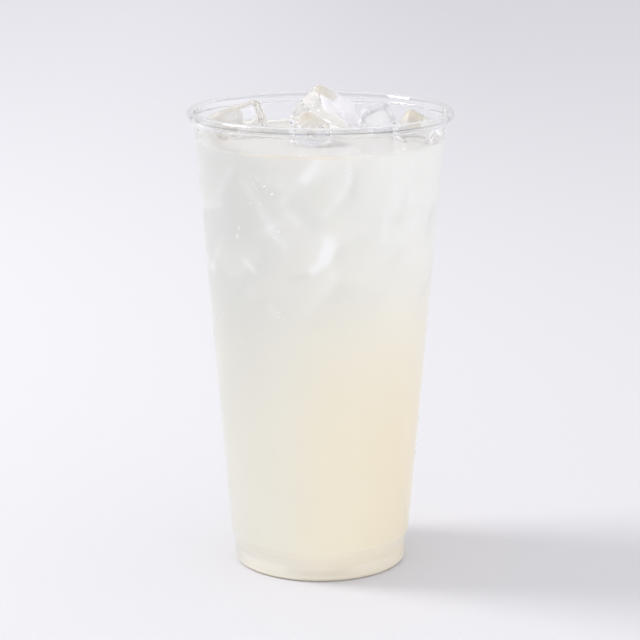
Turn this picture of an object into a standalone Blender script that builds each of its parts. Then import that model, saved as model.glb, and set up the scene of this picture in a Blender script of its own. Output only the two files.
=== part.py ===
"""A tall clear plastic cup of cloudy lemonade with ice, as it stands on a table.

Metres, +Z up, origin on the table at the centre of the cup's foot. The front of the drink faces -Y.
"""
from math import cos, pi, radians, sin

import bmesh
import bpy
from mathutils import Euler, Matrix, Vector, noise

# The cup, a thin sheet formed in one piece
RIM_RADIUS = 0.0475
CUP_HEIGHT = 0.1660
SHEET = 0.0006
CURL_WIDTH = 0.0034
CURL_HEIGHT = 0.0045
CURL_START = radians(180)
CURL_END = radians(-112)
BAND_TOP_RADIUS = 0.0441
BAND_FOOT_RADIUS = 0.0439
BAND_FOOT_HEIGHT = 0.1520
WALL_FOOT_RADIUS = 0.0326
WALL_FOOT_HEIGHT = 0.0114
FOOT_RADIUS = 0.0313
FOOT_HEIGHT = 0.0078
FOOT_CORNER = 0.0020
FOOT_FLAT = 0.0010
BOTTOM_RAISE = 0.0036
BOTTOM_RADIUS = 0.0255
BOTTOM_EASE = 0.0004
STEP_EASE = 0.0003
CUP_STEPS = 48
CURL_STEPS = 12
INNER_BEND_STEPS = 3
OUTER_BEND_STEPS = 4

# The drink and the ice that stands out of it
DRINK_LEVEL = 0.1550
MENISCUS_RISE = 0.0008
MENISCUS_WIDTH = 0.0018
GAP = 0.0003
ICE_EDGE_SEGMENTS = 3
ICE_MELT = 0.0004
MELT_GRAIN = 110.0

# Each cube: name, centre, size of its three sides, turn about X, Y and Z in degrees, radius of its worn edges
ICE_CUBES = [
    ("ice_left", (-0.0287, 0.0030, 0.1569), (0.0185, 0.0180, 0.0185), (-14, -14, 22), 0.0030),
    ("ice_centre", (0.0017, 0.0130, 0.1580), (0.0195, 0.0190, 0.0195), (33, 28, 25), 0.0032),
    ("ice_front", (-0.0033, -0.0145, 0.1580), (0.0120, 0.0115, 0.0135), (44, 23, -30), 0.0024),
    ("ice_right", (0.0212, 0.0050, 0.1592), (0.0105, 0.0120, 0.0130), (49, -22, 16), 0.0026),
    ("ice_far_right", (0.0334, -0.0060, 0.1586), (0.0125, 0.0140, 0.0125), (-6, 29, -5), 0.0024),
]


def arc(centre, across, up, start, end, steps):
    """Points of an elliptical arc in the (radius, height) half-plane."""
    points = []
    for i in range(steps + 1):
        angle = start + (end - start) * i / steps
        points.append((centre[0] + across * cos(angle), centre[1] + up * sin(angle)))
    return points


def body_line():
    """The middle of the cup's sheet, from the centre of its raised bottom, round the foot, up to the band."""
    half = SHEET / 2
    bend = FOOT_CORNER - half
    foot_x = FOOT_RADIUS - half
    wall_x = WALL_FOOT_RADIUS - half
    outer_bend = (foot_x - bend, half + bend)
    inner_bend = (outer_bend[0] - FOOT_FLAT, half + bend)
    line = [(0.0, BOTTOM_RAISE), (BOTTOM_RADIUS, BOTTOM_RAISE)]
    line.append((inner_bend[0] - bend - BOTTOM_EASE, BOTTOM_RAISE - 2 * BOTTOM_EASE))
    line += arc(inner_bend, bend, bend, radians(190), radians(270), INNER_BEND_STEPS)
    line += arc(outer_bend, bend, bend, radians(270), radians(360), OUTER_BEND_STEPS)
    line += [(foot_x, FOOT_HEIGHT), (foot_x + STEP_EASE, FOOT_HEIGHT + 3 * STEP_EASE)]
    line += [(wall_x - STEP_EASE, WALL_FOOT_HEIGHT - 3 * STEP_EASE), (wall_x, WALL_FOOT_HEIGHT)]
    line.append((BAND_FOOT_RADIUS - half, BAND_FOOT_HEIGHT))
    return line


def rim_line():
    """The middle of the sheet from the top of the band, over and round the curled rim to its free edge."""
    half = SHEET / 2
    centre = (RIM_RADIUS - CURL_WIDTH / 2, CUP_HEIGHT - CURL_HEIGHT / 2)
    curl = arc(centre, CURL_WIDTH / 2 - half, CURL_HEIGHT / 2 - half, CURL_START, CURL_END, CURL_STEPS)
    return [(BAND_TOP_RADIUS - half, CUP_HEIGHT - CURL_HEIGHT)] + curl


def offset_line(line, distance):
    """The line moved sideways by the distance, to its right as it runs, keeping the sheet's thickness at bends."""
    moved = []
    for i, point in enumerate(line):
        here = Vector(point)
        before = Vector(line[i - 1]) if i > 0 else here
        after = Vector(line[i + 1]) if i < len(line) - 1 else here
        sides = []
        for step in (here - before, after - here):
            if step.length > 0:
                step.normalize()
                sides.append(Vector((step.y, -step.x)))
        side = sum(sides, Vector((0.0, 0.0))).normalized()
        reach = distance / max(0.5, side.dot(sides[0]))
        moved.append((here.x + side.x * reach, here.y + side.y * reach))
    return moved


def turned(outline, steps):
    """A bmesh made by turning a closed outline of (radius, height) points round the Z axis."""
    shape = bmesh.new()
    ring = [shape.verts.new((radius, 0.0, height)) for radius, height in outline]
    edges = [shape.edges.new((ring[i - 1], ring[i])) for i in range(1, len(ring))]
    if outline[0][0] > 0 or outline[-1][0] > 0:
        edges.append(shape.edges.new((ring[-1], ring[0])))
    bmesh.ops.spin(shape, geom=ring + edges, cent=(0, 0, 0), axis=(0, 0, 1), angle=2 * pi, steps=steps,
                   use_merge=True)
    bmesh.ops.remove_doubles(shape, verts=shape.verts[:], dist=0.00001)
    bmesh.ops.recalc_face_normals(shape, faces=shape.faces[:])
    return shape


def worn_cube(size, edge):
    """A bmesh of an ice cube with rounded edges and faces that melting has made a little uneven."""
    shape = bmesh.new()
    bmesh.ops.create_cube(shape, size=1.0)
    bmesh.ops.scale(shape, vec=size, verts=shape.verts[:])
    bmesh.ops.bevel(shape, geom=shape.edges[:], offset=edge, offset_type='OFFSET', affect='EDGES',
                    segments=ICE_EDGE_SEGMENTS, profile=0.5, material=-1)
    bmesh.ops.triangulate(shape, faces=shape.faces[:])
    return shape


def melt(shape, centre, amount):
    """Moves each point a little along its normal, by smooth noise that depends on its place in the cup."""
    shape.normal_update()
    moves = {}
    for vert in shape.verts:
        place = (vert.co + Vector(centre)) * MELT_GRAIN
        moves[vert] = vert.normal * (noise.noise(place) * amount)
    for vert, move in moves.items():
        vert.co += move


def material(name, colour, roughness, transmission):
    """A Principled material with one colour."""
    finish = bpy.data.materials.new(name)
    finish.use_nodes = True
    shader = finish.node_tree.nodes["Principled BSDF"]
    shader.inputs["Base Color"].default_value = (*colour, 1.0)
    shader.inputs["Roughness"].default_value = roughness
    shader.inputs["Metallic"].default_value = 0.0
    shader.inputs["Transmission Weight"].default_value = transmission
    finish.diffuse_color = (*colour, 1.0)
    return finish


def place(name, shape, finish):
    """Puts a bmesh into the scene as an object with its material, shaded smooth but for its sharp edges."""
    mesh = bpy.data.meshes.new(name)
    shape.to_mesh(mesh)
    shape.free()
    mesh.materials.append(finish)
    mesh.shade_smooth()
    mesh.set_sharp_from_angle(angle=radians(40))
    item = bpy.data.objects.new(name, mesh)
    bpy.context.scene.collection.objects.link(item)
    return item


def make_cup(finish):
    """The cup: one sheet with a raised bottom, a foot, a step, a tapered wall, a straight band and a curled rim."""
    line = body_line() + rim_line()
    outer = offset_line(line, SHEET / 2)
    inner = offset_line(line, -SHEET / 2)
    outer[0] = (0.0, outer[0][1])
    inner[0] = (0.0, inner[0][1])
    return place("cup", turned(outer + inner[::-1], CUP_STEPS), finish)


def drink_outline():
    """The drink's half section, a gap inside the cup's sheet, with the level drawn up a little at the wall."""
    outline = offset_line(body_line(), -(SHEET / 2 + GAP))
    outline[0] = (0.0, outline[0][1])
    wall_x, wall_top = outline[-1]
    slope = (BAND_TOP_RADIUS - BAND_FOOT_RADIUS) / (CUP_HEIGHT - CURL_HEIGHT - BAND_FOOT_HEIGHT)
    top = DRINK_LEVEL + MENISCUS_RISE
    edge = wall_x + slope * (top - wall_top)
    outline.append((edge, top))
    outline.append((edge - MENISCUS_WIDTH / 3, DRINK_LEVEL + MENISCUS_RISE / 3))
    outline += [(edge - MENISCUS_WIDTH, DRINK_LEVEL), (0.0, DRINK_LEVEL)]
    return outline


def make_ice(finish):
    """The cubes that stand out of the drink, and for each one a slightly larger cutter for the drink."""
    cutters = []
    for name, centre, size, turn, edge in ICE_CUBES:
        pose = Matrix.Translation(centre) @ Euler([radians(angle) for angle in turn]).to_matrix().to_4x4()
        for grown in (False, True):
            room = GAP if grown else 0.0
            shape = worn_cube([side + 2 * room for side in size], edge + room)
            melt(shape, centre, ICE_MELT)
            shape.transform(pose)
            item = place(name + "_cutter" if grown else name, shape, finish)
            if grown:
                item.hide_render = True
                item.display_type = 'WIRE'
                cutters.append(item)
    return cutters


def make_drink(finish, cutters):
    """The lemonade, cut round the ice."""
    drink = place("lemonade", turned(drink_outline(), CUP_STEPS), finish)
    for cutter in cutters:
        cut = drink.modifiers.new(cutter.name, 'BOOLEAN')
        cut.operation = 'DIFFERENCE'
        cut.solver = 'EXACT'
        cut.object = cutter
    return drink


def main():
    for item in list(bpy.data.objects):
        bpy.data.objects.remove(item, do_unlink=True)
    clear_plastic = material("clear_plastic", (0.93, 0.94, 0.95), 0.05, 0.9)
    cloudy_lemonade = material("cloudy_lemonade", (0.82, 0.80, 0.72), 0.25, 0.1)
    clear_ice = material("clear_ice", (0.90, 0.92, 0.93), 0.08, 0.8)
    make_cup(clear_plastic)
    make_drink(cloudy_lemonade, make_ice(clear_ice))


main()
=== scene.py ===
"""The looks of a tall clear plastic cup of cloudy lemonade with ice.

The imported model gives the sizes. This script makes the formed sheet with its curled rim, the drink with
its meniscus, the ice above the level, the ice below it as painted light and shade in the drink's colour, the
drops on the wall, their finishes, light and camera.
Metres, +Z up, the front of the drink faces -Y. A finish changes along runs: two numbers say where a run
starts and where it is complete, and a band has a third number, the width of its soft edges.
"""

import random
from math import cos, exp, pi, radians, sin

import bmesh
import bpy
from mathutils import Euler, Matrix, Vector, noise
from mathutils.bvhtree import BVHTree


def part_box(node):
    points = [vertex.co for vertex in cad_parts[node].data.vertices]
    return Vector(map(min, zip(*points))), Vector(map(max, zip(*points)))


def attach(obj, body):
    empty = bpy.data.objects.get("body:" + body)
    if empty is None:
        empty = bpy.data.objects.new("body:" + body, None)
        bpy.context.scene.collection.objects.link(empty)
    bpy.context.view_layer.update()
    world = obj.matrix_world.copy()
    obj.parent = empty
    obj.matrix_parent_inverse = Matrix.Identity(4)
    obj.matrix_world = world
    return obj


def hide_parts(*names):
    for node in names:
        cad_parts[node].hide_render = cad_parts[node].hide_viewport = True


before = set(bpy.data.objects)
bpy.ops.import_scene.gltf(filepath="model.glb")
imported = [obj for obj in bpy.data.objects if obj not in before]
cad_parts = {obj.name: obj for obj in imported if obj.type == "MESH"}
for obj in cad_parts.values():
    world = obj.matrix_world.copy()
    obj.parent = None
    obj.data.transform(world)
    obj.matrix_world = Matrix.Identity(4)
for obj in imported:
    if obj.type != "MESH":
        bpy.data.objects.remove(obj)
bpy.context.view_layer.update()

# The cup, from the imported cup's box and the sheet it was formed from
CUP_LOW, CUP_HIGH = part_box("cup")
CUP_HEIGHT = CUP_HIGH[2]
RIM_RADIUS = (CUP_HIGH[0] - CUP_LOW[0]) / 2
SHEET = 0.0006
CURL_WIDTH = 0.0034
CURL_HEIGHT = 0.0045
CURL_START = radians(180)
CURL_END = radians(-112)
CURL_STEPS = 40
BAND_TOP_RADIUS = 0.0441
BAND_FOOT_RADIUS = 0.0439
BAND_FOOT_HEIGHT = 0.1520
BAND_EASE = 0.0030
WALL_FOOT_RADIUS = 0.0326
WALL_FOOT_HEIGHT = 0.0114
WALL_FOOT_EASE = 0.0010
WALL_SLOPE = (BAND_FOOT_RADIUS - WALL_FOOT_RADIUS) / (BAND_FOOT_HEIGHT - WALL_FOOT_HEIGHT)
FOOT_RADIUS = 0.0313
FOOT_HEIGHT = 0.0078
FOOT_EASE = 0.0008
FOOT_CORNER = 0.0020
FOOT_FLAT = 0.0010
BOTTOM_RAISE = 0.0036
BOTTOM_RADIUS = 0.0255
BOTTOM_EASE = 0.0008
BOTTOM_DIP = 0.0010
DIP_EASE = 0.0006
EASE_STEPS = 6
# How much thinner the sheet gets in the curl, and how much more at its free edge
THIN_SHARE = 0.42
TIP_SHARE = 0.30
THIN_STEPS = 6
TURN_STEPS = 200
MERGE_DISTANCE = 0.000005
SHARP_ANGLE = radians(40)

# The drink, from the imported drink's box: its edge, how far it reaches into the sheet, and its rows of points
MENISCUS_RISE = 0.0008
MENISCUS_WIDTH = 0.0022
MENISCUS_CURVE = 3
MENISCUS_STEPS = 8
DRINK_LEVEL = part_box("lemonade")[1][2] - MENISCUS_RISE
BITE = 0.00040
BAND_ROWS = 4
DRINK_TURN_STEPS = 320
FINE_ROW = 0.0009
COARSE_ROW = 0.0040
FINE_FROM = 0.088

# How melting has worn the ice, and how far each cube reaches into the drink round its hollow
MELT_GRAIN = 85.0
MELT_DEPTH = 0.0002
ICE_EDGE_SEGMENTS = 4
ICE_FACE_CUTS = 2
HOLLOW_BITE = 0.0002

# The ice that stands out of the drink: centre, three sides, turn about X, Y and Z in degrees, worn edge
ICE_ABOVE = {
    "ice_left": ((-0.0287, 0.0030, 0.1569), (0.0185, 0.0180, 0.0185), (-14, -14, 22), 0.0030),
    "ice_centre": ((0.0017, 0.0130, 0.1580), (0.0195, 0.0190, 0.0195), (33, 28, 25), 0.0032),
    "ice_front": ((-0.0033, -0.0145, 0.1580), (0.0120, 0.0115, 0.0135), (44, 23, -30), 0.0024),
    "ice_right": ((0.0212, 0.0050, 0.1592), (0.0105, 0.0120, 0.0130), (49, -22, 16), 0.0026),
    "ice_far_right": ((0.0334, -0.0060, 0.1586), (0.0125, 0.0140, 0.0125), (-6, 29, -5), 0.0024),
}

# The ice sunk in the drink near the front: angle round the wall from the front, height of its centre, how
# deep its centre lies behind the wall, side, then roll about the line to the cup's axis, tilt and lean
ICE_SUNK = [
    (3.5, 0.1450, 0.0105, 0.0165, -28, 22, -18),
    (-11.0, 0.1230, 0.0110, 0.0205, -30, -25, 24),
    (-40.0, 0.1400, 0.0150, 0.0215, 30, 20, 18),
    (-20.0, 0.1440, 0.0150, 0.0180, 12, 35, -22),
    (34.0, 0.1410, 0.0160, 0.0205, 12, -16, -20),
    (20.0, 0.1280, 0.0160, 0.0190, -35, 30, 12),
    (40.0, 0.1175, 0.0140, 0.0180, -24, 18, 24),
    (-45.0, 0.1150, 0.0120, 0.0190, 38, -28, -20),
    (8.0, 0.1070, 0.0150, 0.0200, 18, 32, 28),
    (-26.0, 0.1070, 0.0160, 0.0190, -12, -35, 15),
    (60.0, 0.1330, 0.0115, 0.0195, 25, 26, -20),
    (-68.0, 0.1300, 0.0140, 0.0205, -18, 32, 16),
    (62.0, 0.1110, 0.0130, 0.0185, -30, -20, 26),
    (-70.0, 0.1080, 0.0140, 0.0190, 16, 26, -28),
]
SUNK_EDGE = 0.0028
SUNK_SIDE_RANGE = (0.85, 1.1)

# The ice sunk at the sides and the back, in rows: height and count, then how freely each cube lies
BACK_ROWS = [(0.1440, 6), (0.1320, 6), (0.1180, 6), (0.1050, 5)]
BACK_START = 84
BACK_SWEEP = 192
BACK_SHIFT = 9
BACK_LIFT = 0.004
BACK_DEPTHS = (0.0105, 0.0150)
BACK_SIDES = (0.0170, 0.0210)
BACK_ROLL = 45
BACK_TILT = 35
SUNK_SEED = 7

# Painted glints along cracks and edges of the sunk ice, and painted shade in its hollows: angle, height,
# depth, length, width, roll, strength, where a strength below 0 is painted shade
ICE_GLINTS = [
    (-3.8, 0.1509, 0.0022, 0.0100, 0.0030, 37, 1.2),
    (-14.6, 0.1422, 0.0030, 0.0085, 0.0024, 35, 0.7),
    (13.0, 0.1498, 0.0022, 0.0078, 0.0018, 1, 1.0),
    (10.0, 0.1432, 0.0022, 0.0076, 0.0018, 31, 1.0),
    (4.9, 0.1379, 0.0026, 0.0070, 0.0018, 38, 0.8),
    (7.9, 0.1470, 0.0040, 0.0100, 0.0044, 7, 0.5),
    (4.8, 0.1262, 0.0024, 0.0052, 0.0038, -28, 1.1),
    (3.4, 0.1219, 0.0020, 0.0072, 0.0042, 20, 1.5),
    (-0.9, 0.1173, 0.0020, 0.0066, 0.0028, 49, 1.4),
    (-33.4, 0.1418, 0.0036, 0.0119, 0.0026, -38, 0.55),
    (-25.3, 0.1325, 0.0032, 0.0110, 0.0026, -28, 0.75),
    (-19.1, 0.1257, 0.0024, 0.0068, 0.0020, -42, 0.7),
    (-12.8, 0.1342, 0.0024, 0.0077, 0.0015, -42, 0.7),
    (28.5, 0.1514, 0.0024, 0.0063, 0.0014, -3, 0.8),
    (37.4, 0.1453, 0.0030, 0.0158, 0.0022, -3, 0.6),
    (46.6, 0.1445, 0.0030, 0.0157, 0.0026, 1, 0.6),
    (32.0, 0.1298, 0.0024, 0.0106, 0.0022, -1, 0.8),
    (51.4, 0.1302, 0.0024, 0.0070, 0.0026, 41, 0.9),
    (40.8, 0.1251, 0.0024, 0.0030, 0.0020, 5, 0.7),
    (-66.6, 0.1123, 0.0024, 0.0047, 0.0018, 14, 0.5),
    (-36.4, 0.1159, 0.0022, 0.0062, 0.0016, -51, 1.0),
    (-24.6, 0.1011, 0.0026, 0.0055, 0.0020, -31, 0.5),
    (36.5, 0.1214, 0.0036, 0.0108, 0.0034, -81, -0.25),
    (-32.0, 0.1225, 0.0036, 0.0064, 0.0036, -54, -0.5),
    (15.7, 0.1461, 0.0026, 0.0088, 0.0022, 8, -0.5),
    (-5.1, 0.1342, 0.0036, 0.0110, 0.0034, -34, -0.4),
    (-51.6, 0.1332, 0.0040, 0.0163, 0.0040, -1, -0.4),
]
GLINT_THICKNESS = 0.0008
BLOCK_FACES = 6

# How the sunk ice shows through the haze of the drink: rays in a narrow cone from each point of the wall
GLIMPSE_LOWEST = 0.075
GLIMPSE_INNERMOST = 0.034
GLIMPSE_REACH = 0.020
GLIMPSE_RAYS = 16
GLIMPSE_SPREAD = 0.36
GOLDEN_TURN = radians(137.5)
HAZE_DEPTH = 0.0055
# Where the sunk ice is lit from, seen from in front of each point: to the right, inward and up
GLIMPSE_LIGHT = (-0.55, -0.35, 0.76)
GLIMPSE_NEUTRAL = 0.30
FACE_SHADE = 0.42
EDGE_SHADE = 0.25
HAZE_SHADE = 0.08
FACE_LIGHT = 0.8
EDGE_LIGHT = 0.5
FLAT_FROM = 0.97
EDGE_RUN = 0.12
SOFTEN_SHARE = 0.25

# The drops on the wall: single ones with angle, height and size, then clusters with angle, height, reach
# and count, then those spread over the whole wall
DROP_SPOTS = [
    (-66.0, 0.1500, 0.00036),
    (13.8, 0.1512, 0.00044),
    (9.0, 0.1556, 0.00040),
    (-84.0, 0.0880, 0.00050),
    (-83.0, 0.0862, 0.00042),
    (84.0, 0.0535, 0.00048),
    (83.0, 0.0440, 0.00052),
    (82.0, 0.0405, 0.00046),
    (-62.0, 0.0850, 0.00040),
    (-56.0, 0.0770, 0.00036),
]
DROP_CLUSTERS = [
    (-26.0, 0.1425, 0.0045, 12),
    (-22.0, 0.1275, 0.0022, 6),
    (-44.0, 0.1270, 0.0022, 6),
    (-63.0, 0.0960, 0.0030, 6),
    (-21.0, 0.0990, 0.0035, 6),
]
CLUSTER_SIZES = (0.00026, 0.00042)
DEGREES_PER_METRE = 1300
DROP_COUNT = 300
DROP_SIZES = (0.00010, 0.00030)
DROP_LOWEST = 0.0200
DROP_HIGHEST = 0.1580
DROP_CROWDING = 0.6
DROP_FLATNESS = 0.55
DROP_HANG = 1.15
DROP_SEED = 3

# The camera, where the photograph was taken from
CAMERA_DISTANCE = 0.8017
CAMERA_HEIGHT = 0.2815
CAMERA_PITCH = radians(13.51)
CAMERA_FOCAL_PIXELS = 2284
FRAME_PIXELS = 640
SENSOR = 36.0
NEAR_CLIP = 0.01


class Signal:
    """A shader socket that works in Python arithmetic."""

    def __init__(self, finish, socket):
        self.finish = finish
        self.socket = socket

    def maths(self, operation, *values):
        return self.finish.node('ShaderNodeMath', {"operation": operation}, dict(enumerate(values)))

    def __add__(self, other):
        return self.maths('ADD', self, other)

    def __radd__(self, other):
        return self.maths('ADD', other, self)

    def __sub__(self, other):
        return self.maths('SUBTRACT', self, other)

    def __rsub__(self, other):
        return self.maths('SUBTRACT', other, self)

    def __mul__(self, other):
        return self.maths('MULTIPLY', self, other)

    def __rmul__(self, other):
        return self.maths('MULTIPLY', other, self)

    def unsigned(self):
        return self.maths('ABSOLUTE', self)

    def at_most(self, limit):
        return self.maths('MINIMUM', self, limit)

    def between(self, low, high):
        """0 at low and under, 1 at high and over, with a smooth run between them."""
        return self.finish.node('ShaderNodeMapRange', {"interpolation_type": 'SMOOTHSTEP'},
                                {"Value": self, "From Min": low, "From Max": high}, "Result")

    def within(self, low, high, soft):
        """1 from low to high, 0 outside, with a run of the given width at each end."""
        return self.between(low - soft, low) * (1 - self.between(high, high + soft))


class Finish:
    """A material, or the room's light, while its nodes are put together."""

    def __init__(self, name, kind="materials", end='ShaderNodeOutputMaterial'):
        self.owner = getattr(bpy.data, kind).new(name)
        self.owner.use_nodes = True
        self.tree = self.owner.node_tree
        self.tree.nodes.clear()
        self.end = self.tree.nodes.new(end)

    def node(self, kind, settings=None, values=None, output=0):
        """Adds a node, sets it, feeds its sockets and gives back one of its outputs."""
        made = self.tree.nodes.new(kind)
        for name, setting in (settings or {}).items():
            setattr(made, name, setting)
        for name, value in (values or {}).items():
            if isinstance(value, Signal):
                self.tree.links.new(value.socket, made.inputs[name])
            else:
                made.inputs[name].default_value = value
        return Signal(self, made.outputs[output])

    def vector_maths(self, operation, first, second=(0.0, 0.0, 0.0), output="Value"):
        return self.node('ShaderNodeVectorMath', {"operation": operation}, {0: first, 1: second}, output)

    def place(self):
        """Object coordinates, in metres."""
        return self.node('ShaderNodeTexCoord', output="Object")

    def axis(self, name):
        """One of the three object coordinates."""
        return self.node('ShaderNodeSeparateXYZ', values={0: self.place()}, output=name)

    def radius(self):
        """The distance from the cup's axis."""
        flat = self.vector_maths('MULTIPLY', self.place(), (1.0, 1.0, 0.0), "Vector")
        return self.vector_maths('LENGTH', flat)

    def away(self, spot):
        """The distance from a spot."""
        return self.vector_maths('DISTANCE', self.place(), spot)

    def on_face(self, centre, sides, turn):
        """1 on the face of an ice cube that its own Z axis comes out of, 0 elsewhere."""
        out = Euler([radians(angle) for angle in turn]).to_matrix().col[2]
        middle = Vector(centre) + out * (sides[2] / 2)
        above = self.vector_maths('DOT_PRODUCT', self.place(), out) - middle.dot(out)
        return above.within(*ON_FACE_BAND) * (1 - self.away(middle).between(*ON_FACE_REACH))

    def cloud(self, scale, detail=2.0):
        """Soft noise from 0 to 1, with scale in lumps per metre."""
        return self.node('ShaderNodeTexNoise', {"noise_dimensions": '3D'},
                         {"Vector": self.place(), "Scale": scale, "Detail": detail}, "Fac")

    def attribute(self, name):
        """A number kept on the piece's points."""
        return self.node('ShaderNodeAttribute', {"attribute_name": name}, output="Fac")

    def blend(self, share, first, second):
        """A colour between two colours."""
        return self.node('ShaderNodeMix', {"data_type": 'RGBA'}, {0: share, 6: first, 7: second}, 2)

    def tinted(self, share, base, tint):
        """A colour multiplied by a tint where the share is 1."""
        return self.node('ShaderNodeMix', {"data_type": 'RGBA', "blend_type": 'MULTIPLY'},
                         {0: share, 6: base, 7: tint}, 2)

    def surface(self, **values):
        """A Principled shader. Names are its sockets, with _ for a space."""
        sockets = {name.replace("_", " "): value for name, value in values.items()}
        return self.node('ShaderNodeBsdfPrincipled', values=sockets)

    def mixed(self, share, first, second):
        """A mix of two shaders."""
        return self.node('ShaderNodeMixShader', values={0: share, 1: first, 2: second})

    def done(self, shader):
        self.tree.links.new(shader.socket, self.end.inputs["Surface"])
        return self.owner


# The plastic: its mist, and the thin grey lines in the curl at its widest, under it and at its inner side,
# which are painted: they stand in for how the curl reflects and refracts the light
PLASTIC_COLOUR = (0.985, 0.988, 0.992, 1.0)
CURL_REFLECTION_LINE_COLOUR = (0.60, 0.60, 0.64, 1.0)
PLASTIC_IOR = 1.45
PLASTIC_ROUGHNESS = 0.02
MIST_ROUGHNESS = 0.06
MIST_GRAIN = 260.0
MIST_DETAIL = 3.0
MIST_HEIGHT_RUN = (0.06, 0.13)
MIST_CLOUD_RUN = (0.42, 0.66)
WIDEST_BAND = (0.16356, 0.16394, 0.0001)
WIDEST_RADIUS_RUN = (0.0466, 0.0469)
WIDEST_SHARE = 0.70
WIDEST_LOSS_BEHIND = 0.35
UNDER_HEIGHT_RUN = (0.16195, 0.16215)
UNDER_RADIUS_RUN = (0.0450, 0.0453)
UNDER_SHARE = 0.60
INNER_BAND = (0.1646, 0.1650, 0.0001)
INNER_RADIUS_RUN = (0.0447, 0.0450)
INNER_SHARE = 0.55
BEHIND_RUN = (0.01, 0.03)
ENDS_RUN = (0.034, 0.045)
ENDS_FADE = 0.8


def clear_plastic():
    """Clear, glossy plastic sheet with a little mist where the ice chills it, and painted grey lines in its
    curl where it reflects and refracts the light.
    """
    finish = Finish("clear_plastic")
    height = finish.axis("Z")
    radius = finish.radius()
    mist = height.between(*MIST_HEIGHT_RUN) * finish.cloud(MIST_GRAIN, MIST_DETAIL).between(*MIST_CLOUD_RUN)
    widest = height.within(*WIDEST_BAND) * radius.between(*WIDEST_RADIUS_RUN)
    under = (1 - height.between(*UNDER_HEIGHT_RUN)) * radius.between(*UNDER_RADIUS_RUN)
    inner = height.within(*INNER_BAND) * (1 - radius.between(*INNER_RADIUS_RUN))
    behind = finish.axis("Y").between(*BEHIND_RUN)
    ends = finish.axis("X").unsigned().between(*ENDS_RUN)
    # Painted dark lines of the curl's reflection and refraction, weaker behind and towards the ends
    line = widest * (WIDEST_SHARE - behind * WIDEST_LOSS_BEHIND) + under * UNDER_SHARE
    line = line + inner * behind * INNER_SHARE
    tint = finish.blend(line * (1 - ends * ENDS_FADE), PLASTIC_COLOUR, CURL_REFLECTION_LINE_COLOUR)
    roughness = PLASTIC_ROUGHNESS + mist * MIST_ROUGHNESS
    return finish.done(finish.surface(
        Base_Color=tint, Roughness=roughness, IOR=PLASTIC_IOR, Transmission_Weight=1.0))


# The lemonade's colours near its foot and among its ice, from left to right, and where each gives way. The
# darker left is painted shade, and the brighter, warmer right is painted light that has passed through the
# drink
LOW_LEFT_SHADED = (0.860, 0.850, 0.796, 1.0)
LOW_BETWEEN = (0.939, 0.922, 0.848, 1.0)
LOW_MIDDLE = (0.958, 0.925, 0.810, 1.0)
LOW_RIGHT_LIT = (0.972, 0.925, 0.800, 1.0)
HIGH_LEFT_SHADED = (0.795, 0.800, 0.775, 1.0)
HIGH_BETWEEN = (0.905, 0.903, 0.873, 1.0)
HIGH_MIDDLE = (0.935, 0.932, 0.895, 1.0)
HIGH_RIGHT_LIT = (0.970, 0.970, 0.945, 1.0)
BETWEEN_RUN = (-0.036, -0.010)
MIDDLE_RUN = (-0.016, 0.005)
RIGHT_RUN = (0.000, 0.036)
HIGH_RUN = (0.045, 0.135)
# The step, with painted light that is stronger to the right, and the foot under it, made a little darker and
# cooler
STEP_LIGHT_COLOUR = (0.990, 0.955, 0.865, 1.0)
STEP_BAND = (0.0078, 0.0110, 0.0012)
STEP_SHARE = 0.2
STEP_MIDDLE_SHARE = 0.4
STEP_RIGHT_SHARE = 0.3
FOOT_TINT = (0.972, 0.968, 0.985, 1.0)
FOOT_RUN = (0.0074, 0.0088)
# The painted highlights in bright arcs to both sides of the foot, the painted shade of the dusk between them
# and the painted warm light in the line under them
ARC_HIGHLIGHT_COLOUR = (0.985, 0.965, 0.885, 1.0)
ARC_BAND = (0.0030, 0.0048, 0.0015)
ARC_SIDE_BAND = (0.015, 0.025, 0.006)
ARC_SHARE = 0.6
DUSK_SHADE_COLOUR = (0.86, 0.82, 0.74, 1.0)
DUSK_BAND = (0.0026, 0.0038, 0.0008)
DUSK_SIDE_RUN = (0.004, 0.012)
DUSK_SHARE = 0.5
WARM_LIGHT_COLOUR = (0.985, 0.945, 0.850, 1.0)
WARM_RUN = (0.0014, 0.0026)
WARM_SHARE = 0.7
# The sunk ice where it shades the haze and where it lights it
ICE_SHADE_COLOUR = (0.800, 0.812, 0.800, 1.0)
ICE_LIGHT_COLOUR = (0.995, 0.995, 0.985, 1.0)
# The line where the level meets the wall, a painted beige line of light that is strong only at the front and
# faint all round, the level itself, greyer as it is less milky and darker still with painted shade, and the
# hollows round the standing ice
RING_LIGHT_COLOUR = (0.94, 0.905, 0.82, 1.0)
RING_RUN = (DRINK_LEVEL - 0.0006, DRINK_LEVEL + 0.0001)
RING_SIDE_BAND = (-0.020, 0.004, 0.010)
RING_FRONT_RUN = (-0.03, -0.01)
RING_SHARE = 0.15
RING_NEAR_SHARE = 0.85
HOLLOW_COLOUR = (0.885, 0.875, 0.858, 1.0)
INSIDE_RUN = (0.0006, 0.0012)
INSIDE_HEIGHT_RUN = (0.10, 0.12)
LEVEL_TONE_AND_SHADE = (0.62, 0.605, 0.565, 1.0)
LEVEL_FRONT_TONE_AND_SHADE = (0.615, 0.602, 0.572, 1.0)
LEVEL_RUN = (DRINK_LEVEL - 0.0006, DRINK_LEVEL - 0.0001)
LEVEL_FRONT_RUN = (-0.030, 0.010)
DRINK_ROUGHNESS = 0.35
LEVEL_GLOSS = 0.25
DRINK_SPECULAR = 0.25
WATER_IOR = 1.33


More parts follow.
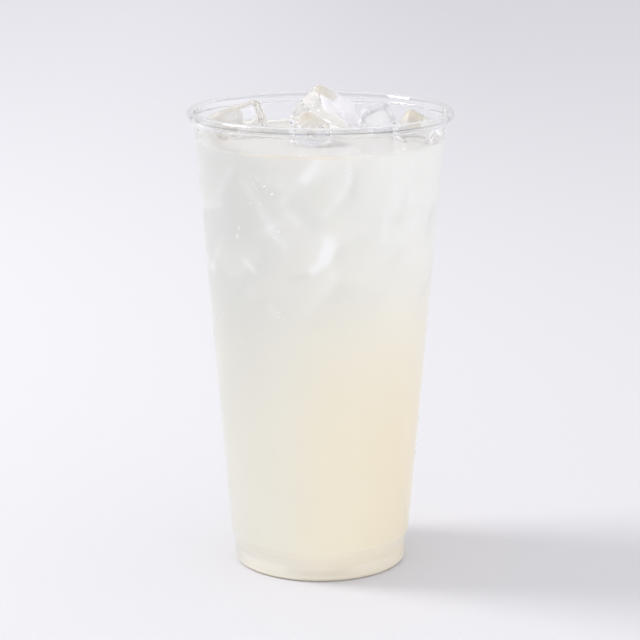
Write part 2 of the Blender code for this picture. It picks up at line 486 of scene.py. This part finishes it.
def cloudy_lemonade():
    """Cloudy lemonade: grey white among the ice, creamier lower down, with painted shade to the left and
    painted light to the right, warmest at the lower right.
    """
    finish = Finish("cloudy_lemonade")
    height = finish.axis("Z")
    aside = finish.axis("X")
    depth = finish.axis("Y")
    between = aside.between(*BETWEEN_RUN)
    middle = aside.between(*MIDDLE_RUN)
    right = aside.between(*RIGHT_RUN)
    # Painted shade on the left and painted light on the right
    low = finish.blend(middle, finish.blend(between, LOW_LEFT_SHADED, LOW_BETWEEN), LOW_MIDDLE)
    low = finish.blend(right, low, LOW_RIGHT_LIT)
    high = finish.blend(middle, finish.blend(between, HIGH_LEFT_SHADED, HIGH_BETWEEN), HIGH_MIDDLE)
    high = finish.blend(right, high, HIGH_RIGHT_LIT)
    body = finish.blend(height.between(*HIGH_RUN), low, high)

    # Painted light on the step, more in the middle and most to the right
    step = height.within(*STEP_BAND) * (STEP_SHARE + middle * STEP_MIDDLE_SHARE + right * STEP_RIGHT_SHARE)
    body = finish.blend(step, body, STEP_LIGHT_COLOUR)
    body = finish.tinted(1 - height.between(*FOOT_RUN), body, FOOT_TINT)
    sideways = aside.unsigned()
    # Painted highlights, painted shade in the middle near the bottom, and painted warm light at the lowest
    # edge
    arc_highlight = height.within(*ARC_BAND) * sideways.within(*ARC_SIDE_BAND)
    body = finish.blend(arc_highlight * ARC_SHARE, body, ARC_HIGHLIGHT_COLOUR)
    dusk_shade = height.within(*DUSK_BAND) * (1 - sideways.between(*DUSK_SIDE_RUN))
    body = finish.blend(dusk_shade * DUSK_SHARE, body, DUSK_SHADE_COLOUR)
    warm_light = 1 - height.between(*WARM_RUN)
    body = finish.blend(warm_light * WARM_SHARE, body, WARM_LIGHT_COLOUR)

    body = finish.blend(finish.attribute("ice_shade"), body, ICE_SHADE_COLOUR)
    body = finish.blend(finish.attribute("ice_light"), body, ICE_LIGHT_COLOUR)

    wall = WALL_FOOT_RADIUS - SHEET / 2 + (height - WALL_FOOT_HEIGHT) * WALL_SLOPE
    inside = (wall - finish.radius()).between(*INSIDE_RUN) * height.between(*INSIDE_HEIGHT_RUN)
    # Painted light: a beige line where the level meets the wall, strong only at the front
    ring = height.between(*RING_RUN) * (1 - inside)
    near = aside.within(*RING_SIDE_BAND) * (1 - depth.between(*RING_FRONT_RUN))
    body = finish.blend(ring * (RING_SHARE + near * RING_NEAR_SHARE), body, RING_LIGHT_COLOUR)
    body = finish.blend(inside, body, HOLLOW_COLOUR)
    # The level: less milky, with painted shade that differs a little at the front
    level = height.between(*LEVEL_RUN) * inside
    front = 1 - depth.between(*LEVEL_FRONT_RUN)
    body = finish.blend(level, body, finish.blend(front, LEVEL_TONE_AND_SHADE, LEVEL_FRONT_TONE_AND_SHADE))
    return finish.done(finish.surface(Base_Color=body, Roughness=DRINK_ROUGHNESS - level * LEVEL_GLOSS,
                                      Specular_IOR_Level=DRINK_SPECULAR, IOR=WATER_IOR))


# The ice: clear, frosted, and beige or pale at a few facets
ICE_IOR = 1.31
ICE_ROUGHNESS = 0.02
ICE_COLOUR = (0.985, 0.985, 0.992, 1.0)
FROST_COLOUR = (0.86, 0.86, 0.90, 1.0)
FROST_ROUGHNESS = 0.30
FROST_GRAIN = 190.0
FROST_DETAIL = 3.0
FROST_RUN = (0.56, 0.74)
FROST_SHARE = 0.3
FROSTY_CUBE_BAND = (0.0150, 0.0260, 0.002)
FROSTY_CUBE_SHARE = 0.35
# Facets that the drink tints: centre and reach
ICE_TINT_SPOTS = [
    ((-0.0370, -0.0030, 0.1620), 0.0105),
    ((0.0035, 0.0120, 0.1720), 0.0060),
    ((-0.0030, -0.0150, 0.1650), 0.0060),
    ((0.0315, -0.0120, 0.1640), 0.0052),
]
ICE_TINT_COLOUR = (0.62, 0.57, 0.48, 1.0)
TINT_GRAIN = 140.0
TINT_RUN = (0.35, 0.65)
TINT_LEAST = 0.55
TINT_FROST_SHARE = 0.60
RAGGED_GRAIN = 260.0
RAGGED_DEPTH = 0.006
SPOT_CORE = 0.8
# The pale facet of the cube in the middle
PALE_COLOUR = (0.89, 0.885, 0.935, 1.0)
PALE_SHARE = 0.55
ON_FACE_BAND = (-0.0006, 0.0006, 0.0003)
ON_FACE_REACH = (0.0110, 0.0135)


def clear_ice():
    """Wet ice, clear with frosted patches, most on the small right cube, and a few tinted or pale facets."""
    finish = Finish("clear_ice")
    ragged = finish.cloud(RAGGED_GRAIN) * RAGGED_DEPTH - RAGGED_DEPTH / 2
    near = 0
    for spot, reach in ICE_TINT_SPOTS:
        near = 1 - (finish.away(spot) + ragged).between(reach * SPOT_CORE, reach) + near
    tint = near * (TINT_LEAST + finish.cloud(TINT_GRAIN).between(*TINT_RUN) * (1 - TINT_LEAST))
    pale = finish.on_face(*ICE_ABOVE["ice_centre"][:3]) * (1 - tint)
    frost = finish.cloud(FROST_GRAIN, FROST_DETAIL).between(*FROST_RUN) * FROST_SHARE
    frost = frost + finish.axis("X").within(*FROSTY_CUBE_BAND) * FROSTY_CUBE_SHARE
    frost = frost + tint * TINT_FROST_SHARE + pale * PALE_SHARE
    clear = finish.surface(Base_Color=finish.blend(tint, ICE_COLOUR, ICE_TINT_COLOUR),
                           Roughness=ICE_ROUGHNESS, IOR=ICE_IOR, Transmission_Weight=1.0)
    white = finish.blend(pale, FROST_COLOUR, PALE_COLOUR)
    frosted = finish.surface(Base_Color=finish.blend(tint, white, ICE_TINT_COLOUR), Roughness=FROST_ROUGHNESS)
    return finish.done(finish.mixed(frost.at_most(1.0), clear, frosted))


# The drops: clear water, mostly covered by painted white, a painted highlight for the light they catch
DROP_COLOUR = (0.99, 0.99, 0.99, 1.0)
DROP_ROUGHNESS = 0.03
DROP_HIGHLIGHT_COLOUR = (0.97, 0.97, 0.96, 1.0)
DROP_HIGHLIGHT_ROUGHNESS = 0.10
DROP_HIGHLIGHT_GRAIN = 900.0
DROP_HIGHLIGHT_RUN = (0.3, 0.7)
DROP_HIGHLIGHT_LEAST = 0.92


def clear_water():
    """Water drops, painted almost all white as a painted highlight for the light that they catch."""
    finish = Finish("clear_water")
    # The noise only spreads a little more painted white over the drops
    mist = finish.cloud(DROP_HIGHLIGHT_GRAIN).between(*DROP_HIGHLIGHT_RUN)
    clear = finish.surface(
        Base_Color=DROP_COLOUR, Roughness=DROP_ROUGHNESS, IOR=WATER_IOR, Transmission_Weight=1.0)
    white = finish.surface(Base_Color=DROP_HIGHLIGHT_COLOUR, Roughness=DROP_HIGHLIGHT_ROUGHNESS, IOR=WATER_IOR)
    return finish.done(finish.mixed(DROP_HIGHLIGHT_LEAST + mist * (1 - DROP_HIGHLIGHT_LEAST), clear, white))


def rounded(corners, steps):
    """A line of (radius, height) points through corners given as (radius, height, rounding)."""
    line = []
    for i, (x, y, rounding) in enumerate(corners):
        here = Vector((x, y))
        if rounding == 0 or i in (0, len(corners) - 1):
            line.append((x, y))
            continue
        before = (Vector(corners[i - 1][:2]) - here).normalized()
        after = (Vector(corners[i + 1][:2]) - here).normalized()
        half_angle = before.angle(after) / 2
        reach = rounding / max(0.001, sin(half_angle) / cos(half_angle))
        start, end = here + before * reach, here + after * reach
        for step in range(steps + 1):
            share = step / steps
            line.append(tuple(start.lerp(here, share).lerp(here.lerp(end, share), share)))
    return line


def body_line():
    """The middle of the cup's sheet, from the centre of its raised bottom, round the foot, up to the band."""
    half = SHEET / 2
    bend = FOOT_CORNER - half
    foot_x = FOOT_RADIUS - half
    inner_x = foot_x - 2 * bend - FOOT_FLAT
    corners = [
        (0.0, BOTTOM_RAISE, 0),
        (BOTTOM_RADIUS, BOTTOM_RAISE, BOTTOM_EASE),
        (inner_x, BOTTOM_RAISE - BOTTOM_DIP, DIP_EASE),
        (inner_x, half, bend),
        (foot_x, half, bend),
        (foot_x, FOOT_HEIGHT, FOOT_EASE),
        (WALL_FOOT_RADIUS - half, WALL_FOOT_HEIGHT, WALL_FOOT_EASE),
        (BAND_FOOT_RADIUS - half, BAND_FOOT_HEIGHT, BAND_EASE),
        (BAND_TOP_RADIUS - half, CUP_HEIGHT - CURL_HEIGHT, 0),
    ]
    return rounded(corners, EASE_STEPS)


def rim_line():
    """The middle of the sheet over and round the curled rim to its free edge."""
    half = SHEET / 2
    centre = (RIM_RADIUS - CURL_WIDTH / 2, CUP_HEIGHT - CURL_HEIGHT / 2)
    line = []
    for i in range(CURL_STEPS + 1):
        angle = CURL_START + (CURL_END - CURL_START) * i / CURL_STEPS
        across = (CURL_WIDTH / 2 - half) * cos(angle)
        up = (CURL_HEIGHT / 2 - half) * sin(angle)
        line.append((centre[0] + across, centre[1] + up))
    return line


def offset_line(line, distance):
    """The line moved to its right by the distance, with the sheet's thickness kept at bends."""
    moved = []
    for i, point in enumerate(line):
        here = Vector(point)
        steps = [here - Vector(line[i - 1])] if i > 0 else []
        if i < len(line) - 1:
            steps.append(Vector(line[i + 1]) - here)
        sides = [Vector((step.y, -step.x)).normalized() for step in steps]
        side = sum(sides, Vector((0.0, 0.0))).normalized()
        reach = distance / max(0.5, side.dot(sides[0]))
        moved.append((here.x + side.x * reach, here.y + side.y * reach))
    return moved


def turned(outline, steps):
    """A bmesh made by turning an outline of (radius, height) points, from axis to axis, round the Z axis."""
    shape = bmesh.new()
    ring = [shape.verts.new((radius, 0.0, height)) for radius, height in outline]
    edges = [shape.edges.new((ring[i - 1], ring[i])) for i in range(1, len(ring))]
    bmesh.ops.spin(shape, geom=ring + edges, cent=(0, 0, 0), axis=(0, 0, 1), angle=2 * pi, steps=steps,
                   use_merge=True)
    bmesh.ops.remove_doubles(shape, verts=shape.verts[:], dist=MERGE_DISTANCE)
    bmesh.ops.recalc_face_normals(shape, faces=shape.faces[:])
    return shape


def piece(name, shape, finish, slot, *nodes):
    """Puts a bmesh into the scene as a piece of the object, riding on the one body."""
    mesh = bpy.data.meshes.new(name)
    shape.to_mesh(mesh)
    shape.free()
    mesh.materials.append(finish)
    mesh.shade_smooth()
    mesh.set_sharp_from_angle(angle=SHARP_ANGLE)
    item = bpy.data.objects.new(name, mesh)
    bpy.context.scene.collection.objects.link(item)
    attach(item, "root")
    if nodes:
        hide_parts(*nodes)
    return item


def make_cup(finish):
    """The formed sheet, with its raised bottom, foot ring, step, wall, band and curled rim."""
    line = body_line()[:-1] + rim_line()
    outer = offset_line(line, SHEET / 2)
    inner = offset_line(line, -SHEET / 2)
    first = len(body_line()) - 2
    last = len(line) - 1
    for i in range(first, last + 1):
        thinner = THIN_SHARE * min(1.0, (i - first) / THIN_STEPS)
        at_tip = TIP_SHARE * max(0.0, (i - last + THIN_STEPS) / THIN_STEPS)
        inner[i] = tuple(Vector(outer[i]).lerp(Vector(inner[i]), 1 - thinner - at_tip))
    outer[0] = (0.0, outer[0][1])
    inner[0] = (0.0, inner[0][1])
    piece("cup_sheet", turned(outer + inner[::-1], TURN_STEPS), finish, "clear_plastic", "cup")


def drink_shape():
    """The drink, which reaches just into the sheet, with its level drawn up at the wall."""
    outline = offset_line(body_line(), -(SHEET / 2 - BITE))[:-1]
    outline[0] = (0.0, outline[0][1])
    wall_x, wall_top = outline[-1]
    foot = max(i for i, point in enumerate(outline) if point[1] < BAND_FOOT_HEIGHT / 2)
    low, high = Vector(outline[foot]), Vector(outline[foot + 1])
    rows = []
    height = low.y + COARSE_ROW
    while height < high.y - FINE_ROW / 2:
        rows.append(tuple(low.lerp(high, (height - low.y) / (high.y - low.y))))
        height += FINE_ROW if height > FINE_FROM else COARSE_ROW
    outline[foot + 1:foot + 1] = rows

    slope = (BAND_TOP_RADIUS - BAND_FOOT_RADIUS) / (CUP_HEIGHT - CURL_HEIGHT - BAND_FOOT_HEIGHT)
    rise = DRINK_LEVEL + MENISCUS_RISE - wall_top
    edge = wall_x + slope * rise
    for i in range(1, BAND_ROWS):
        share = i / BAND_ROWS
        outline.append((wall_x + (edge - wall_x) * share, wall_top + rise * share))
    for i in range(MENISCUS_STEPS + 1):
        share = i / MENISCUS_STEPS
        drawn_up = MENISCUS_RISE * (1 - share) ** MENISCUS_CURVE
        outline.append((edge - MENISCUS_WIDTH * share, DRINK_LEVEL + drawn_up))
    outline.append((0.0, DRINK_LEVEL))
    return turned(outline, DRINK_TURN_STEPS)


def ice_block(centre, sides, turn, edge, grow=0.0, seed=0):
    """A worn ice cube as a bmesh, in its place."""
    shape = bmesh.new()
    bmesh.ops.create_cube(shape, size=1.0)
    bmesh.ops.scale(shape, vec=[side + 2 * grow for side in sides], verts=shape.verts[:])
    bmesh.ops.bevel(shape, geom=shape.edges[:], offset=edge + grow, offset_type='OFFSET', affect='EDGES',
                    segments=ICE_EDGE_SEGMENTS, profile=0.5, material=-1)
    bmesh.ops.subdivide_edges(shape, edges=shape.edges[:], cuts=ICE_FACE_CUTS, use_grid_fill=True)
    shape.normal_update()
    start = Vector(centre) * MELT_GRAIN + Vector((seed, 0, 0))
    moves = []
    for vert in shape.verts:
        moves.append((vert, vert.normal * (noise.noise(vert.co * MELT_GRAIN + start) * MELT_DEPTH)))
    for vert, move in moves:
        vert.co += move
    turn_matrix = Euler([radians(angle) for angle in turn]).to_matrix().to_4x4()
    shape.transform(Matrix.Translation(centre) @ turn_matrix)
    return shape


def behind_wall(angle, height, depth, roll, tilt=0.0, lean=0.0):
    """The matrix of a thing in the drink, from its place round the wall and its turn there, in degrees."""
    share = (height - WALL_FOOT_HEIGHT) / (BAND_FOOT_HEIGHT - WALL_FOOT_HEIGHT)
    wall = WALL_FOOT_RADIUS + (BAND_FOOT_RADIUS - WALL_FOOT_RADIUS) * share - SHEET
    round_cup = Matrix.Rotation(radians(angle), 4, 'Z')
    turn = Euler((radians(tilt), radians(roll), radians(lean))).to_matrix().to_4x4()
    return round_cup @ Matrix.Translation((0.0, -(wall - depth), height)) @ turn


def either_way(amount):
    """A random number between the amount below 0 and the amount above it."""
    return random.uniform(-amount, amount)


def sunk_cubes():
    """The sunk cubes in one bmesh, and for each of its faces the matrix of the cube that it belongs to."""
    random.seed(SUNK_SEED)
    cubes = list(ICE_SUNK)
    for height, count in BACK_ROWS:
        for i in range(count):
            angle = BACK_START + BACK_SWEEP * (i + 0.5) / count + either_way(BACK_SHIFT)
            cubes.append((angle, height + either_way(BACK_LIFT), random.uniform(*BACK_DEPTHS),
                          random.uniform(*BACK_SIDES), either_way(BACK_ROLL), either_way(BACK_TILT),
                          either_way(BACK_TILT)))
    joined = bmesh.new()
    owners = []
    for i, (angle, height, depth, side, roll, tilt, lean) in enumerate(cubes):
        pose = behind_wall(angle, height, depth, roll, tilt, lean)
        sides = [side * random.uniform(*SUNK_SIDE_RANGE) for axis in range(3)]
        cube = ice_block((0, 0, 0), sides, (0, 0, 0), SUNK_EDGE, seed=i)
        cube.transform(pose)
        mesh = bpy.data.meshes.new("sunk_cube")
        cube.to_mesh(mesh)
        owners += [pose.to_3x3()] * len(cube.faces)
        cube.free()
        joined.from_mesh(mesh)
        bpy.data.meshes.remove(mesh)
    return joined, owners


def glint_blocks():
    """The painted glints of cracks and edges and the painted shade of hollows, as thin blocks in one bmesh,
    and the strength of each face.
    """
    joined = bmesh.new()
    strengths = []
    for angle, height, depth, length, width, roll, strength in ICE_GLINTS:
        made = bmesh.ops.create_cube(joined, size=1.0)["verts"]
        bmesh.ops.scale(joined, vec=(width, GLINT_THICKNESS, length), verts=made)
        bmesh.ops.transform(joined, matrix=behind_wall(angle, height, depth, roll), verts=made)
        strengths += [strength] * BLOCK_FACES
    return joined, strengths


def cone(inward, count, spread):
    """Directions spread evenly in a narrow cone."""
    side = inward.cross(Vector((0, 0, 1))).normalized()
    above = side.cross(inward)
    for i in range(count):
        reach = spread * ((i + 0.5) / count) ** 0.5
        turn = GOLDEN_TURN * i
        yield (inward + side * (reach * cos(turn)) + above * (reach * sin(turn))).normalized()


def glimpse(ice, owners, glints, strengths, start, inward):
    """How much the sunk ice darkens and lights the haze at a point of the wall, seen along a narrow cone."""
    shade = light = 0.0
    above = Vector((0, 0, 1))
    lamp = inward.cross(above) * GLIMPSE_LIGHT[0] + inward * GLIMPSE_LIGHT[1] + above * GLIMPSE_LIGHT[2]
    for way in cone(inward, GLIMPSE_RAYS, GLIMPSE_SPREAD):
        hit, normal, face, distance = ice.ray_cast(start, way, GLIMPSE_REACH)
        if hit is not None and normal.dot(way) < 0:
            seen = exp(-distance / HAZE_DEPTH)
            lit = normal.dot(lamp) - GLIMPSE_NEUTRAL
            flat = max(abs(value) for value in owners[face].transposed() @ normal)
            edge = min(1.0, max(0.0, (FLAT_FROM - flat) / EDGE_RUN))
            shade += seen * max(0.0, -lit) * (FACE_SHADE + EDGE_SHADE * edge) + seen * HAZE_SHADE
            light += seen * max(0.0, lit) * (FACE_LIGHT + EDGE_LIGHT * edge)
        elif hit is not None:
            shade += HAZE_SHADE
        hit, normal, face, distance = glints.ray_cast(start, way, GLIMPSE_REACH)
        if hit is not None:
            seen = strengths[face] * exp(-distance / HAZE_DEPTH)
            light += max(0.0, seen)
            shade += max(0.0, -seen)
    return shade / GLIMPSE_RAYS, light / GLIMPSE_RAYS


def show_sunk_ice(drink):
    """Keeps on each point of the drink how the sunk ice behind it shades and lights the haze."""
    cubes, owners = sunk_cubes()
    blocks, strengths = glint_blocks()
    ice = BVHTree.FromBMesh(cubes)
    glints = BVHTree.FromBMesh(blocks)
    mesh = drink.data
    shades = mesh.attributes.new("ice_shade", 'FLOAT', 'POINT')
    lights = mesh.attributes.new("ice_light", 'FLOAT', 'POINT')
    for i, vert in enumerate(mesh.vertices):
        across = Vector((vert.co.x, vert.co.y, 0.0))
        if vert.co.z < GLIMPSE_LOWEST or across.length < GLIMPSE_INNERMOST:
            continue
        shade, light = glimpse(ice, owners, glints, strengths, vert.co, -across.normalized())
        shades.data[i].value = shade
        lights.data[i].value = light
    for edge in mesh.edges:
        a, b = edge.vertices
        for layer in (shades, lights):
            middle = (layer.data[a].value + layer.data[b].value) / 2
            layer.data[a].value += (middle - layer.data[a].value) * SOFTEN_SHARE
            layer.data[b].value += (middle - layer.data[b].value) * SOFTEN_SHARE
    cubes.free()
    blocks.free()


def make_drink(finish):
    """The lemonade, cut round the ice that stands out of it, with the ice reaching just into each hollow."""
    drink = piece("lemonade_body", drink_shape(), finish, "cloudy_lemonade", "lemonade")
    for name, (centre, sides, turn, edge) in ICE_ABOVE.items():
        cutter_mesh = bpy.data.meshes.new(name + "_hollow")
        shape = ice_block(centre, sides, turn, edge, grow=-HOLLOW_BITE)
        shape.to_mesh(cutter_mesh)
        shape.free()
        cutter = bpy.data.objects.new(name + "_hollow", cutter_mesh)
        bpy.context.scene.collection.objects.link(cutter)
        cut = drink.modifiers.new(name, 'BOOLEAN')
        cut.operation = 'DIFFERENCE'
        cut.solver = 'EXACT'
        cut.object = cutter
        bpy.context.view_layer.objects.active = drink
        bpy.ops.object.modifier_apply(modifier=cut.name)
        bpy.data.objects.remove(cutter)
        bpy.data.meshes.remove(cutter_mesh)
    show_sunk_ice(drink)


def make_ice(finish):
    """The cubes that stand out of the drink."""
    for name, (centre, sides, turn, edge) in ICE_ABOVE.items():
        piece(name + "_cube", ice_block(centre, sides, turn, edge), finish, "clear_ice", name)


def drop_places():
    """Where drops cling to the outer wall: angle, height and size."""
    random.seed(DROP_SEED)
    places = list(DROP_SPOTS)
    for angle, height, reach, count in DROP_CLUSTERS:
        for i in range(count):
            turn = angle + either_way(1.0) * reach * DEGREES_PER_METRE
            rise = height + either_way(1.0) * reach
            places.append((turn, rise, random.uniform(*CLUSTER_SIZES)))
    for i in range(DROP_COUNT):
        height = DROP_LOWEST + (DROP_HIGHEST - DROP_LOWEST) * random.random() ** DROP_CROWDING
        places.append((either_way(180.0), height, random.uniform(*DROP_SIZES)))
    return places


def make_drops(finish):
    """Small drops that cling to the cold wall, as flattened beads that sit half in the sheet."""
    joined = bmesh.new()
    for angle, height, size in drop_places():
        made = bmesh.ops.create_icosphere(joined, subdivisions=1, radius=size)["verts"]
        bmesh.ops.scale(joined, vec=(1.0, DROP_FLATNESS, DROP_HANG), verts=made)
        bmesh.ops.transform(joined, matrix=behind_wall(angle, height, -SHEET, 0.0), verts=made)
    piece("wall_drops", joined, finish, "clear_ice")


# The floor, with its colours to the left and to the right, near and far, painted light and shade that set how
# brightness falls off across it, lightest far to the left
FLOOR_RADIUS = 6.0
FLOOR_STEPS = 96
FLOOR_ROUGHNESS = 0.6
FLOOR_SPECULAR = 0.2
FLOOR_LEFT_NEAR = (0.640, 0.637, 0.660, 1.0)
FLOOR_LEFT_FAR = (0.740, 0.737, 0.765, 1.0)
FLOOR_RIGHT_NEAR = (0.648, 0.645, 0.668, 1.0)
FLOOR_RIGHT_FAR = (0.640, 0.638, 0.665, 1.0)
FLOOR_FAR_RUN = (-0.1, 1.9)
FLOOR_RIGHT_RUN = (-0.24, 0.20)


def make_floor():
    """A wide pale floor, which fills the picture behind the cup."""
    finish = Finish("pale_floor")
    # Painted light and shade: lighter far to the left
    far = finish.axis("Y").between(*FLOOR_FAR_RUN)
    left_side = finish.blend(far, FLOOR_LEFT_NEAR, FLOOR_LEFT_FAR)
    right_side = finish.blend(far, FLOOR_RIGHT_NEAR, FLOOR_RIGHT_FAR)
    paint = finish.blend(finish.axis("X").between(*FLOOR_RIGHT_RUN), left_side, right_side)
    surface = finish.surface(Base_Color=paint, Roughness=FLOOR_ROUGHNESS, Specular_IOR_Level=FLOOR_SPECULAR)
    shape = bmesh.new()
    bmesh.ops.create_circle(shape, cap_ends=True, segments=FLOOR_STEPS, radius=FLOOR_RADIUS)
    mesh = bpy.data.meshes.new("pale_floor")
    shape.to_mesh(mesh)
    shape.free()
    mesh.materials.append(finish.done(surface))
    floor = bpy.data.objects.new("pale_floor", mesh)
    bpy.context.scene.collection.objects.link(floor)


# The key lamp, and the room's even light, brighter to the right and dimmer low down behind the cup
KEY_SIZE = 0.5
KEY_POWER = 11.0
KEY_COLOUR = (1.0, 0.99, 0.98)
KEY_PLACE = (-1.0, 0.15, 1.10)
KEY_AIM = (0, 0, 0.06)
ROOM_COLOUR = (0.80, 0.797, 0.82, 1.0)
ROOM_LEFT = 1.20
ROOM_MORE = 0.24
ROOM_RIGHT_RUN = (-0.9, 0.9)
ROOM_BEHIND_DIM = 0.28
ROOM_BEHIND_RUN = (0.10, 0.75)
ROOM_HIGH_RUN = (0.30, 0.80)


def make_light():
    """A soft key from the left, a little behind, and an even pale room."""
    key = bpy.data.lights.new("key", 'AREA')
    key.shape = 'DISK'
    key.size = KEY_SIZE
    key.energy = KEY_POWER
    key.color = KEY_COLOUR
    lamp = bpy.data.objects.new("key", key)
    lamp.location = KEY_PLACE
    lamp.rotation_euler = (Vector(KEY_AIM) - Vector(lamp.location)).to_track_quat('-Z', 'Y').to_euler()
    bpy.context.scene.collection.objects.link(lamp)
    room = Finish("pale_room", "worlds", 'ShaderNodeOutputWorld')
    way = room.node('ShaderNodeTexCoord', output="Generated")
    right = room.node('ShaderNodeSeparateXYZ', values={0: way}, output="X").between(*ROOM_RIGHT_RUN)
    behind = room.node('ShaderNodeSeparateXYZ', values={0: way}, output="Y").between(*ROOM_BEHIND_RUN)
    low = 1 - room.node('ShaderNodeSeparateXYZ', values={0: way}, output="Z").between(*ROOM_HIGH_RUN)
    strength = (ROOM_LEFT + right * ROOM_MORE) * (1 - behind * low * ROOM_BEHIND_DIM)
    glow = room.node('ShaderNodeBackground', values={"Color": ROOM_COLOUR, "Strength": strength})
    bpy.context.scene.world = room.done(glow)


def make_camera():
    """The camera of the photograph."""
    lens = bpy.data.cameras.new("camera")
    lens.sensor_width = SENSOR
    lens.lens = SENSOR * CAMERA_FOCAL_PIXELS / FRAME_PIXELS
    lens.clip_start = NEAR_CLIP
    camera = bpy.data.objects.new("camera", lens)
    camera.location = (0.0, -CAMERA_DISTANCE, CAMERA_HEIGHT)
    camera.rotation_euler = (pi / 2 - CAMERA_PITCH, 0.0, 0.0)
    bpy.context.scene.collection.objects.link(camera)
    bpy.context.scene.camera = camera


make_camera()
make_light()
make_floor()
make_cup(clear_plastic())
make_drink(cloudy_lemonade())
make_ice(clear_ice())
make_drops(clear_water())

# Light takes many turns in the sheet's curl and in the wet ice, and a sharp path keeps the wall clear
bpy.context.scene.view_settings.view_transform = 'Standard'
bpy.context.scene.cycles.max_bounces = 40
bpy.context.scene.cycles.diffuse_bounces = 10
bpy.context.scene.cycles.glossy_bounces = 24
bpy.context.scene.cycles.transmission_bounces = 36
bpy.context.scene.cycles.blur_glossy = 0.0
